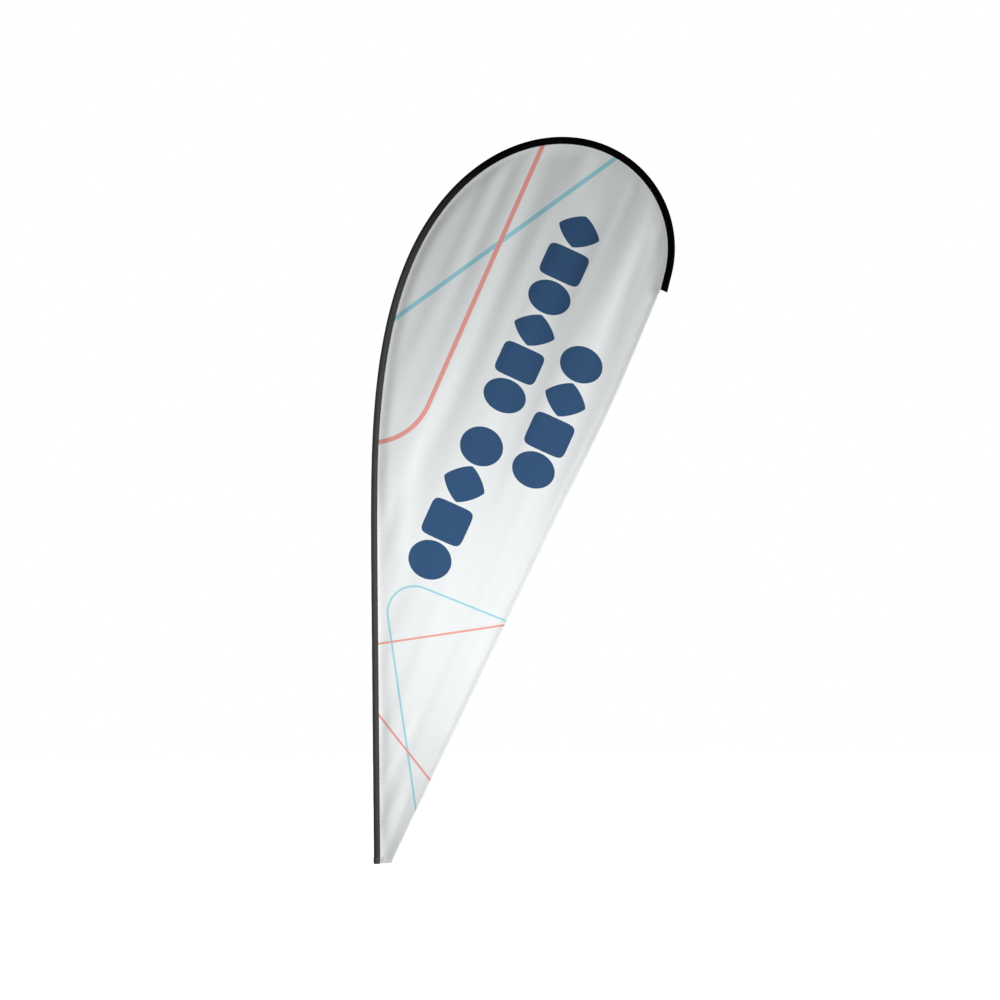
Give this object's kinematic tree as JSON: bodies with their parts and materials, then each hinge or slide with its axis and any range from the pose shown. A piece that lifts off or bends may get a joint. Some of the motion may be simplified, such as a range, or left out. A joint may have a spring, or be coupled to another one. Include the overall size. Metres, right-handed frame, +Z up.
{
  "type": "teardrop flag",
  "caption": "Teardrop-shaped printed flag held open by a bent sectional pole inside a black sleeve along its curved edge.",
  "frame": {"origin": "middle of the pole's underside, where the ground stake's spindle enters the foot bearing", "axes": "+Z up the straight bottom of the pole, +X from the pole towards the free hem, panel in the XZ plane"},
  "size_m": [1.0149, 0.0224, 2.3963],
  "materials": {
    "nylon": "moulded black nylon, satin",
    "aluminium_tube": "drawn tube, satin anodised",
    "composite_tube": "black pultruded composite",
    "fibreglass_rod": "pale fibreglass, smooth",
    "collar_metal": "turned, satin",
    "rubber_cap": "black rubber",
    "printed_knit": "printed knitted polyester, matt",
    "black_weave": "black woven polyester, slight satin sheen",
    "hook_tape": "black hook-and-loop tape"
  },
  "bodies": {
    "foot": {"foot_bearing": "nylon"},
    "bottom_pole": {"bottom_tube": "aluminium_tube"},
    "flag": {"lower_mid_tube": "composite_tube", "lower_collar": "collar_metal", "upper_mid_tube": "composite_tube", "middle_collar": "collar_metal", "tip_rod": "fibreglass_rod", "upper_collar": "collar_metal", "tip_cap": "rubber_cap", "tip_pocket": "black_weave", "pole_sleeve": "black_weave", "flag_panel": "printed_knit", "mouth_strap": "hook_tape", "loop_patch": "hook_tape"},
    "strap": {"strap_flap": "hook_tape"}
  },
  "joints": [
    {"name": "swivel", "type": "hinge", "parent": "foot", "child": "bottom_pole", "pos_m": [0, 0, 0], "axis": [0, 0, 1], "continuous": true},
    {"name": "lift_off", "type": "slide", "parent": "bottom_pole", "child": "flag", "axis": [0, 0, 1], "range_m": [0, 0.912]},
    {"name": "strap_peel", "type": "hinge", "parent": "flag", "child": "strap", "pos_m": [-0.0104, 0, 0.0115], "axis": [0, 0, 1], "range_deg": [0, 150]}
  ]
}
